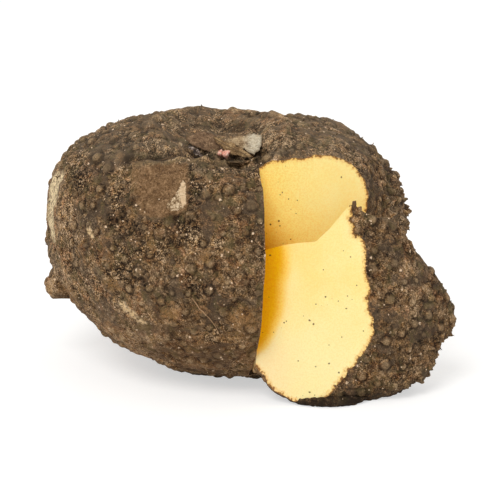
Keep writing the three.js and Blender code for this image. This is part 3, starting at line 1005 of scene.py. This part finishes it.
RIND, FLESH = rind_material(), flesh_material()
SCALE_TAN = dry_material("scale_tan", (72, 50, 30), (116, 88, 62), (160, 130, 98))
SCALE_PALE = dry_material("scale_pale", (104, 80, 52), (158, 132, 98), (196, 170, 132), (212, 203, 180))
SCALE_FOLD = dry_material("scale_fold", (84, 58, 32), (140, 110, 72), (188, 158, 114))
SCALE_CURL = dry_material("scale_curl", (30, 22, 17), (84, 66, 54), (206, 188, 174))
BUD_PINK = bud_material()
THREAD = thread_material("root_thread", (112, 84, 58), (178, 142, 104))
STUB = thread_material("root_stub", (62, 46, 30), (124, 100, 70))


def add_piece(piece, slot, *nodes):
    """A piece handed to the frame, standing for those nodes of the CAD."""
    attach(piece, "root")
    if nodes:
        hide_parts(*nodes)


# ---------------------------------------------------------------- corm and slice
def pointing(v, way):
    """The unit vector along v or against it, whichever is nearer to way."""
    v = unit(v)
    return v if v @ way > 0 else -v


def notch_cutter():
    """The notch's side and back walls, each a little wavy, met in one upright corner."""
    at, side, back = np.array(NOTCH_SIDE[0], float), unit(NOTCH_SIDE[1]), unit(NOTCH_BACK[1])
    up = pointing(np.cross(side, back), (0, 0, 1))
    along_back = pointing(np.cross(up, back), side)
    along_side = pointing(np.cross(up, side), back)
    steps_side = np.concatenate([[90], np.arange(48, 0, -1.1)])
    steps_back = np.concatenate([np.arange(0, 96, 1.1), [140]])
    heights = np.concatenate([np.arange(-141, 12, 1.1), [40]])
    run = [(0.0, s) for s in steps_side] + [(b, 0.0) for b in steps_back]
    sheet = np.array([[at + along_back * b + along_side * s + up * h for h in heights] for b, s in run])
    flat = sheet.reshape(-1, 3)
    wave = 0.35 * noise(flat, 26, 61) + 0.12 * noise(flat, 7, 62)
    on_side = np.repeat(np.arange(len(run)) < len(steps_side), len(heights))
    flat = flat + np.where(on_side[:, None], side, -back) * wave[:, None]
    return swept("cutter_notch", flat.reshape(sheet.shape), (along_back + along_side) * 220)


def sheet_grid(start, end, top, step):
    """Even steps along the ground and up to the top, with one far row below and one above."""
    up = np.concatenate([[-30], np.arange(-1, top, step), [150]])
    return np.meshgrid(np.arange(start, end, step), up, indexing="ij")


def flap_edge(points):
    """How far the flap's outline strays from its corners' outline."""
    flat = points * (1, 0, 1)
    return 1.3 * noise(flat, 3.2, 73) + 0.6 * noise(flat, 1.5, 76)


def keep_flap(body):
    """The flap is skin all through, so its cut faces go back to rind."""
    points, tris, slots = read_mesh(body.data)
    middle = points[tris].mean(axis=1)
    far = inside(RIND_FLAP, middle[:, 0], middle[:, 2]) + flap_edge(middle)
    in_front = middle[:, 1] < plane_y(CUT_FACE, middle[:, 0], middle[:, 2]) + FLAP_DEPTH
    slots[(far > FLAP_MARGIN) & in_front] = IN_RIND
    body.data.polygons.foreach_set("material_index", slots)


def face_cutter():
    """The slice's front face, set forward where the flap of rind is left standing."""
    x, z = sheet_grid(0, 140, 124, 1.05)
    flat = np.stack([x, plane_y(CUT_FACE, x, z), z], axis=-1).reshape(-1, 3)
    flat[:, 1] += 0.4 * noise(flat, 30, 71) + 0.1 * noise(flat, 6, 72)
    on_flap = smoothstep(inside(RIND_FLAP, flat[:, 0], flat[:, 2]) + flap_edge(flat), -0.3, 1.4)
    flat[:, 1] -= on_flap * (3.4 + 1.1 * noise(flat, 3.4, 74) + 0.6 * noise(flat, 1.6, 75))
    return swept("cutter_face", flat.reshape(*x.shape, 3), (0, -120, 0))


def rear_cutter():
    """The slice's rear face and its step, bowed a little to the back."""
    x, z = sheet_grid(-10, 150, 130, 1.4)
    y = np.maximum(plane_y(CUT_REAR, x, z), plane_y(CUT_STEP, x, z))
    flat = np.stack([x, y, z], axis=-1).reshape(-1, 3)
    share = np.clip((flat[:, 0] - 20) / 32, 0, 1)
    flat[:, 1] += 0.3 * noise(flat, 24, 81) + 0.55 * np.sin(np.pi * share**0.7)
    return swept("cutter_rear", flat.reshape(*x.shape, 3), (0, 160, 0))


def side_cutter():
    """The slice's left face, clear of the notch's side wall."""
    y, z = sheet_grid(-115, 10, 130, 1.4)
    at, normal = NOTCH_SIDE[0], unit(NOTCH_SIDE[1])
    x = at[0] + (CLEARANCE - (y - at[1]) * normal[1] - (z - at[2]) * normal[2]) / normal[0]
    return swept("cutter_side", np.stack([x, y, z], axis=-1), (-160, 0, 0))


def corm_flesh_marks(points):
    """Painted shade with orange bounce light, darker and more amber to the left and down, and painted shade
    at the foot.
    """
    x, z = points[:, 0], points[:, 2]
    wave = 4 * noise(points, 20, 91)
    return {
        "deep": 0.88 * smoothstep(x - 20 + 0.55 * (z - 88) + wave, 34, -2),
        "amber": smoothstep(x - 20 + 0.3 * (z - 100) + wave, 60, 12),
        "soiled": smoothstep(z + wave, 26, 16),
    }


def slice_flesh_marks(points):
    """Painted shade with orange bounce light inside an outline on the left, and creamy and blushed towards
    the foot.
    """
    x, z = points[:, 0], points[:, 2]
    wave = 1.5 * noise(points, 14, 92)
    outer = np.interp(z, [22, 32, 41, 51, 65, 90], [19, 28, 33.5, 37, 40, 42])
    deep = smoothstep(x + wave, outer, outer - 12) * smoothstep(z, 22, 34)
    top = smoothstep(z, 89, 93) * smoothstep(x, 28, 36)
    return {
        "deep": deep * (1 - 0.5 * top),
        "creamy": smoothstep(z + 0.3 * x, 92, 40),
        "blush": smoothstep(z + wave, 46, 26) * smoothstep(x, 52, 24),
    }


def build_corm():
    way, tris = sphere_grid(*CORM_GRID)
    smooth = join_cormel(dish_crown(rind_points(CORM, way)))
    points, warts = roughen(smooth, tris, corm_warts, CORM_CRUMBLE, NOTCH_BACK)
    body = make_object("yam_corm_skin", points, tris, (RIND, FLESH))
    cut(body, [notch_cutter()])
    add_piece(body, "corm_rind", "yam_corm")
    return finish_rind(body, warts, CORM_CRUMBLE, corm_flesh_marks)


def widen_toe(points, tris):
    """The slice's lower left edge drawn out where it meets the cut face."""
    x, z = points[:, 0], points[:, 2]
    behind = (np.array(CUT_FACE[0]) - points) @ unit(CUT_FACE[1])
    share = smoothstep(x, 64, 38) * smoothstep(z, 52, 30) * smoothstep(x, 14, 20)
    swell = (2.9 * share + 1.5 * spot(x, z, (81, 41), (9, 8))) * bell(np.maximum(behind, 0), 0, 7)
    return points + vertex_normals(points, tris) * swell[:, None]


def build_slice():
    way, tris = sphere_grid(*SLICE_GRID)
    smooth = widen_toe(rind_points(SLICE, way), tris)
    points, warts = roughen(smooth, tris, slice_warts, SLICE_CRUMBLE, CUT_FACE)
    body = make_object("cut_slice_skin", points, tris, (RIND, FLESH))
    cut(body, [face_cutter(), rear_cutter(), side_cutter()])
    keep_flap(body)
    add_piece(body, "corm_rind", "cut_slice")
    return finish_rind(body, warts, SLICE_CRUMBLE, slice_flesh_marks)


# ---------------------------------------------------------------- scales and bud
def papery(name, at, facing, outline, middle, shape, thickness, material, seed, ragged):
    """A thin dry sheet. Its outline and middle are in its own face, and shape is its height over that."""
    rings, spokes = SCALE_GRID
    angle = np.linspace(0, 2 * np.pi, spokes, endpoint=False)
    corners = np.array(outline, float) - middle
    turn = np.arctan2(corners[:, 1], corners[:, 0])
    order = np.argsort(turn)
    radius = np.interp(angle, turn[order], np.hypot(*corners.T)[order], period=2 * np.pi)
    radius = smoothed(radius, np.stack([np.arange(spokes), (np.arange(spokes) + 1) % spokes], 1), 1)
    ring = np.stack([np.cos(angle), np.sin(angle), np.zeros(spokes)], 1)
    radius = radius + ragged * (noise(ring * 6, 1.3, seed) + 0.7 * noise(ring * 16, 1.1, seed + 1))
    steps = np.linspace(0, 1, rings + 1)[1:] ** 0.8
    x = np.concatenate([[0], (steps[:, None] * radius * np.cos(angle)).ravel()]) + middle[0]
    y = np.concatenate([[0], (steps[:, None] * radius * np.sin(angle)).ravel()]) + middle[1]
    share = np.concatenate([[0], np.repeat(steps, spokes)])
    flat = np.stack([x, y, np.full(len(x), float(seed))], 1)
    lift = shape(x, y) + 0.22 * noise(flat, 3.2, seed + 2) + 0.10 * noise(flat * (0.4, 1.6, 1), 1.2, seed + 3)
    half = 0.5 * thickness * (1 - 0.7 * share**6)
    out = unit(facing)
    right = unit(np.cross((0, 0, 1), out))
    up = np.cross(out, right)
    front = np.array(at) + x[:, None] * right + y[:, None] * up + (lift + half)[:, None] * out
    back = front - (2 * half)[:, None] * out
    count = len(x)
    faces = []
    for k in range(spokes):
        n = (k + 1) % spokes
        faces += [(0, 1 + k, 1 + n), (count, count + 1 + n, count + 1 + k)]
        for r in range(rings - 1):
            a, b = 1 + r * spokes + k, 1 + r * spokes + n
            c, d = b + spokes, a + spokes
            faces += [(a, d, c), (a, c, b)]
            faces += [(count + a, count + c, count + d), (count + a, count + b, count + c)]
        a, b = 1 + (rings - 1) * spokes + k, 1 + (rings - 1) * spokes + n
        faces += [(a, count + a, count + b), (a, count + b, b)]
    made = make_object(name, np.concatenate([front, back]), faces, (material,))
    for key, values in {"across": x, "along": y, "edge": share}.items():
        set_attribute(made.data, key, np.tile(values, 2))
    made.data.shade_smooth()
    return made


def ring_tris(rows, sides):
    """Triangles of rings joined in a row. The two points after the rings close the start and the end."""
    tris, last, tip = [], (rows - 1) * sides, rows * sides
    for k in range(sides):
        n = (k + 1) % sides
        tris += [(tip, n, k), (tip + 1, last + k, last + n)]
        for r in range(0, last, sides):
            tris += [(r + k, r + n, r + sides + n), (r + k, r + sides + n, r + sides + k)]
    return np.array(tris)


def bud_lobe(name, at, way, length, width, seed):
    """One pointed leaf of the bud, rolled round its neighbours."""
    rings, spokes = BUD_GRID
    along = np.linspace(0, 1, rings)
    ahead = unit(way)
    side = unit(np.cross(ahead, (0, -1, 0.2)))
    up = np.cross(side, ahead)
    turn = np.linspace(0, 2 * np.pi, spokes, endpoint=False)
    swell = np.sin(np.pi * np.clip(along, 0.02, 0.995) ** 0.62) ** 0.8 * (1 - 0.25 * along)
    path = np.array(at) + ahead * (along * length)[:, None] + up * (0.12 * length * along**2)[:, None]
    crease = 1 + 0.10 * np.cos(3 * turn + 4 * along[:, None]) + 0.05 * np.cos(7 * turn - 3 * along[:, None])
    ring = np.cos(turn)[None, :, None] * side + 0.72 * np.sin(turn)[None, :, None] * up
    points = path[:, None] + ring * (0.5 * width * swell[:, None] * crease)[..., None]
    points = points.reshape(-1, 3)
    points += 0.12 * noise_vectors(points, 1.6, seed)
    points = np.concatenate([points, path[:1], path[-1:]])
    made = make_object(name, points, ring_tris(rings, spokes), (BUD_PINK,))
    set_attribute(made.data, "along", np.concatenate([np.repeat(along, spokes), [0, 1]]))
    made.data.shade_smooth()
    return made


# Each scale with the CAD nodes it stands for.
SCALES = {
    "scale_left": (["bud_scale_left"], {
        "at": (-14, -35.5, 143.4), "facing": (0.1, -0.72, 0.69), "middle": (2, 1),
        "outline": [(-8.4, 3.4), (-3, 6.0), (4.4, 7.2), (7, 6.6), (10.4, 2), (11.4, -3.4), (7.4, -6.6),
                    (4, -5.8), (-1, -3.2), (-5.6, 0.2)],
        "shape": lambda x, y: 0.9 - 0.014 * (x - 2) ** 2 - 0.012 * y**2,
        "thickness": 0.6, "material": SCALE_TAN, "seed": 101, "ragged": 0.6,
    }),
    "scale_right": (["bud_scale_right"], {
        "at": (10.0, -36.5, 142.4), "facing": (-0.05, -0.76, 0.65), "middle": (4, 1),
        "outline": [(-10.3, 2.8), (-5.2, 4.6), (2, 5.4), (8.2, 7.2), (11.6, 6.2), (11.8, 1.2), (10.8, -2.8),
                    (7.4, -5.8), (2, -2.6), (-3.1, -0.3), (-8.1, 1.6)],
        "shape": lambda x, y: 1.0 - 0.010 * (x - 3) ** 2 - 0.012 * (y - 1) ** 2,
        "thickness": 0.6, "material": SCALE_PALE, "seed": 111, "ragged": 0.55,
    }),
    "scale_fold": (["bud_scale_fold"], {
        "at": (6.2, -39.5, 140.9), "facing": (-0.1, -0.86, 0.5), "middle": (-1, 0),
        "outline": [(-13, 8), (-9, 5.4), (-4.4, 3.0), (0.7, 1), (5.8, -1.4), (11.4, -4.4), (7, -5.0),
                    (1.7, -3.6), (-2.9, -1.8), (-7.6, 0.8), (-12.2, 4.6)],
        "shape": lambda x, y: 0.4 - 0.004 * x**2 + 0.05 * y,
        "thickness": 0.5, "material": SCALE_FOLD, "seed": 121, "ragged": 0.5,
    }),
    "scale_curl": (["bud_scale_curl"], {
        "at": (-15.5, -45.6, 140.6), "facing": (0.25, -0.8, 0.55), "middle": (-1, 0.4),
        "outline": [(-5.2, 2.2), (-4.6, 3.0), (-1, 1.0), (1.4, -1.6), (4.2, -5.4), (3.6, -6.0), (0.4, -2.6),
                    (-2.4, 0.4)],
        "shape": lambda x, y: 0.6 + 0.03 * x**2,
        "thickness": 0.4, "material": SCALE_CURL, "seed": 131, "ragged": 0.2,
    }),
    "scale_flake": ([], {
        "at": (-26.5, -43.5, 143.6), "facing": (-0.1, -0.8, 0.6), "middle": (0, 0),
        "outline": [(-2.8, -1.6), (-0.4, 0.6), (2.4, 1.6), (2.6, 0.4), (0.6, -1.2), (-1.6, -2)],
        "shape": lambda x, y: 0.3 - 0.05 * x**2,
        "thickness": 0.4, "material": SCALE_PALE, "seed": 141, "ragged": 0.2,
    }),
}


def build_crown():
    for name, (nodes, details) in SCALES.items():
        add_piece(papery(name, **details), "dry_scale", *nodes)
    main = bud_lobe("bud_main", (-1.0, -43.8, 137.2), (0.75, -0.25, 0.6), 6.4, 4.8, 151)
    add_piece(main, "bud", "apical_bud")
    add_piece(bud_lobe("bud_side", (-3.0, -43.5, 137.4), (0.4, -0.1, 0.9), 4.8, 3.3, 161), "bud")


# ---------------------------------------------------------------- threads, fibres, stubs and torn skin
def tube(path, radii, sides):
    """Points, triangles and length in steps of a closed tube along a path, with a radius at each point."""
    ahead = unit(np.gradient(path, axis=0))
    side = unit(np.cross(ahead, (0.31, 0.22, 0.92)))
    up = np.cross(side, ahead)
    turn = np.linspace(0, 2 * np.pi, sides, endpoint=False)
    ring = np.cos(turn)[None, :, None] * side[:, None] + np.sin(turn)[None, :, None] * up[:, None]
    points = (path[:, None] + ring * radii[:, None, None]).reshape(-1, 3)
    return np.concatenate([points, path[:1], path[-1:]]), ring_tris(len(path), sides), len(path)


def tubes(name, made, material):
    """Many tubes as one mesh, each vertex told how far it is along its own tube and which lot it drew."""
    points, tris, along, lot, start = [], [], [], [], 0
    for tube_points, tube_tris, steps in made:
        sides = (len(tube_points) - 2) // steps
        points.append(tube_points)
        tris.append(tube_tris + start)
        along.append(np.concatenate([np.repeat(np.linspace(0, 1, steps), sides), [0, 1]]))
        lot.append(np.full(len(tube_points), rng.random()))
        start += len(tube_points)
    body = make_object(name, np.concatenate(points), np.concatenate(tris), (material,))
    set_attribute(body.data, "along", np.concatenate(along))
    set_attribute(body.data, "lot", np.concatenate(lot))
    body.data.shade_smooth()
    return body


def settle(path, lift):
    """A path laid on the corm's rind, raised off it by lift."""
    _, which = nearest(path, corm_rind["points"])
    base, normal = corm_rind["points"][which], corm_rind["normals"][which]
    gap = np.einsum("ij,ij->i", path - base, normal)
    settled = path - normal * (gap - lift)[:, None]
    smooth = settled.copy()
    smooth[1:-1] = 0.25 * settled[:-2] + 0.5 * settled[1:-1] + 0.25 * settled[2:]
    return smooth


def spline(knots, steps):
    """Evenly stepped points on a curve through the knots."""
    knots = np.array(knots, float)
    t = np.linspace(0, len(knots) - 1, steps)
    k = np.clip(t.astype(int), 0, len(knots) - 2)
    ends = np.vstack([2 * knots[0] - knots[1], knots, 2 * knots[-1] - knots[-2]])
    f = (t - k)[:, None]
    a, b, c, d = (ends[k + j] for j in range(4))
    return 0.5 * (2 * b + (c - a) * f + (2 * a - 5 * b + 4 * c - d) * f**2 + (3 * b - a - 3 * c + d) * f**3)


# Threads laid on the rind: knots, thickness and CAD node. SPLIT is the dark thread across the bud's scales,
# in part a painted shade for the gap between them.
THREADS = {
    "thread_front": ([(-17.3, -96.1, 67.7), (-12.9, -95.8, 61.8), (-6.3, -94.4, 53.2), (-1.3, -91.1, 43.9)],
                     0.3, "root_thread_front"),
    "thread_crown": ([(23, -42, 140), (28, -38, 144), (33, -34, 147), (39, -30, 149)],
                     0.26, "root_thread_crown"),
}
SPLIT = [(-6.3, -40.6, 147.4), (-1, -41.2, 144.5), (4, -42, 142), (11.5, -43.2, 138.6), (17, -45.5, 134.4)]
# Torn points of skin at the slice's peak and toe, and the skin that curls under its cut face to the ground,
# darkened as painted shade: a path and the radius along it.
TORN_POINTS = [
    ([(75.0, -70.6, 109.5), (74.3, -71.6, 113), (73.7, -71.8, 117.0)], (2.2, 2.0, 1.5, 0.8)),
    ([(77.2, -70.4, 108.5), (76.6, -71.4, 111.5), (77.4, -71.2, 114.2)], (1.9, 1.5, 0.6)),
    ([(116.5, -52, 16), (119.5, -53, 14), (122.0, -54, 11.5)], (2.2, 1.4, 0.3)),
]
TOE_SKIN = [
    ([(38, -82, 2.6), (46, -84.4, 2.3), (55, -85.3, 2.2), (64, -85.2, 2.1), (73, -83.4, 2.0), (82, -79, 2.4)],
     (0.7, 2.2, 3.2, 3.6, 2.8, 1.0)),
]
# How many root stubs each rind has, and how likely they are over it.
STUBS = {
    "corm": (340, lambda p: 0.25 + smoothstep(p[:, 0], 40, 95) + 0.6 * smoothstep(p[:, 2], 120, 150)),
    "slice": (70, lambda p: 0.3 + smoothstep(p[:, 2], 50, 10) + smoothstep(p[:, 0], 90, 125)),
}


def build_threads():
    split = tube(spline(SPLIT, 30), np.full(30, 0.26), 7)
    add_piece(tubes("thread_split", [split], STUB), "root_thread")
    for name, (knots, thick, node) in THREADS.items():
        path = settle(spline(knots, 34), thick)
        radii = thick * (1 - 0.6 * np.linspace(0, 1, 34) ** 2)
        add_piece(tubes(name, [tube(path, radii, 8)], THREAD), "root_thread", node)


def build_fibres():
    """Fine fibres lying about the crown."""
    made = []
    _, y, z = corm_rind["points"].T
    crown = np.flatnonzero((z > 128) & (y < 10))
    for k in rng.choice(crown, 90, replace=False):
        at, normal = corm_rind["points"][k], corm_rind["normals"][k]
        way = unit(np.cross(normal, rng.normal(size=3)))
        reach = rng.uniform(2.5, 8)
        bend = unit(np.cross(normal, way)) * rng.uniform(-0.3, 0.3)
        knots = [at + way * reach * t + bend * reach * t * t for t in (0, 0.33, 0.66, 1)]
        path = settle(spline(knots, 9), 0.15)
        path[-2:] += normal * rng.uniform(0, 0.8)
        made.append(tube(path, np.linspace(0.2, 0.09, 9), 5))
    add_piece(tubes("crown_fibres", made, THREAD), "root_thread")


def build_stubs():
    """Short broken roots that stand out of the rind."""
    made = []
    t = np.linspace(0, 1, 5)
    for rind, (count, weight) in ((corm_rind, STUBS["corm"]), (slice_rind, STUBS["slice"])):
        chance = weight(rind["points"])
        for k in rng.choice(len(chance), count, replace=False, p=chance / chance.sum()):
            at, normal = rind["points"][k], rind["normals"][k]
            way = unit(normal + 0.5 * rng.normal(size=3))
            if way[2] < 0 and at[2] < 6:
                continue
            reach = rng.uniform(0.8, 2.6)
            bend = unit(np.cross(normal, rng.normal(size=3))) * reach * rng.uniform(0.1, 0.5)
            path = at - normal * 0.4 + way * reach * t[:, None] + bend * (t**2)[:, None]
            made.append(tube(path, rng.uniform(0.35, 0.8) * (1 - 0.75 * t), 6))
    add_piece(tubes("root_stubs", made, STUB), "root_thread")


def build_torn(name, rows, steps, dark):
    """Ragged tongues of skin, darkened by a share of painted shade."""
    made = []
    for path, radii in rows:
        radius = np.interp(np.linspace(0, 1, steps), np.linspace(0, 1, len(radii)), radii)
        points, tris, _ = tube(spline(path, steps), radius, 12)
        points += 0.7 * noise_vectors(points, 1.9, 44)
        points[:, 2] = np.maximum(points[:, 2], 0.1)
        made.append((points, tris, steps))
    body = tubes(name, made, RIND)
    set_attribute(body.data, "painted_shade", np.full(len(body.data.vertices), dark))
    add_piece(body, "corm_rind")


corm_rind = build_corm()
slice_rind = build_slice()
build_crown()
build_torn("torn_points", TORN_POINTS, 15, 0.0)
build_threads()
build_fibres()
build_stubs()
# The toe skin is darkened as painted shade under the slice's foot.
build_torn("toe_skin", TOE_SKIN, 60, 0.7)


# ---------------------------------------------------------------- floor, light and camera
def floor():
    """A pale floor that lights the object with one grey and shows the camera a brighter one."""
    bm = bmesh.new()
    bmesh.ops.create_grid(bm, x_segments=8, y_segments=8, size=6)
    mesh = bpy.data.meshes.new("floor")
    bm.to_mesh(mesh)
    bm.free()
    p = Paint("pale_floor")
    base = p.node("ShaderNodeBsdfDiffuse", {"Color": (0.80, 0.79, 0.775, 1)})
    shown = p.node("ShaderNodeBsdfDiffuse", {"Color": (0.60, 0.593, 0.581, 1)})
    glow = p.node("ShaderNodeEmission", {"Color": (1, 1, 1, 1), "Strength": 0.54})
    both = p.node("ShaderNodeAddShader", {0: shown.outputs[0], 1: glow.outputs[0]})
    p.show(p.either(p.seen(), base.outputs[0], both.outputs[0]))
    mesh.materials.append(p.material)
    made = link("floor", mesh)
    made.location = (0, 0, -FLOOR_GAP)


def world():
    """A soft sky that lights the object, seen as plain white."""
    made = bpy.data.worlds.new("studio")
    bpy.context.scene.world = made
    n = Nodes(made, "ShaderNodeOutputWorld")
    soft = n.node("ShaderNodeBackground", {"Color": (1, 0.99, 0.97, 1), "Strength": 0.69})
    white = n.node("ShaderNodeBackground", {"Color": (1, 1, 1, 1), "Strength": 1})
    n.show(n.either(n.seen(), soft.outputs[0], white.outputs[0]))


def aimed(name, data, at, way):
    """A lamp or camera that looks along way."""
    made = link(name, data)
    made.location = at
    made.rotation_mode = "QUATERNION"
    made.rotation_quaternion = way.to_track_quat("-Z", "Y")
    return made


def lamp(name, at, aim, size, power):
    data = bpy.data.lights.new(name, "AREA")
    data.shape, data.size, data.energy = "DISK", size, power
    aimed(name, data, at, Vector(aim) - Vector(at))


def camera():
    """The photo's view: from the front, a little above, a metre from the object's middle."""
    data = bpy.data.cameras.new("camera")
    data.lens, data.sensor_width = LENS, SENSOR
    target = Vector(((np.array(VIEW_TARGET) + SHIFT) * MM).tolist())
    back = Vector((0, -math.cos(VIEW_ELEVATION), math.sin(VIEW_ELEVATION)))
    bpy.context.scene.camera = aimed("camera", data, target + back, -back)


floor()
world()
lamp("key", at=(-1.05, -2.75, 3.3), aim=(0, 0, 0.07), size=2.0, power=87)
camera()
bpy.context.scene.view_settings.view_transform = "Standard"
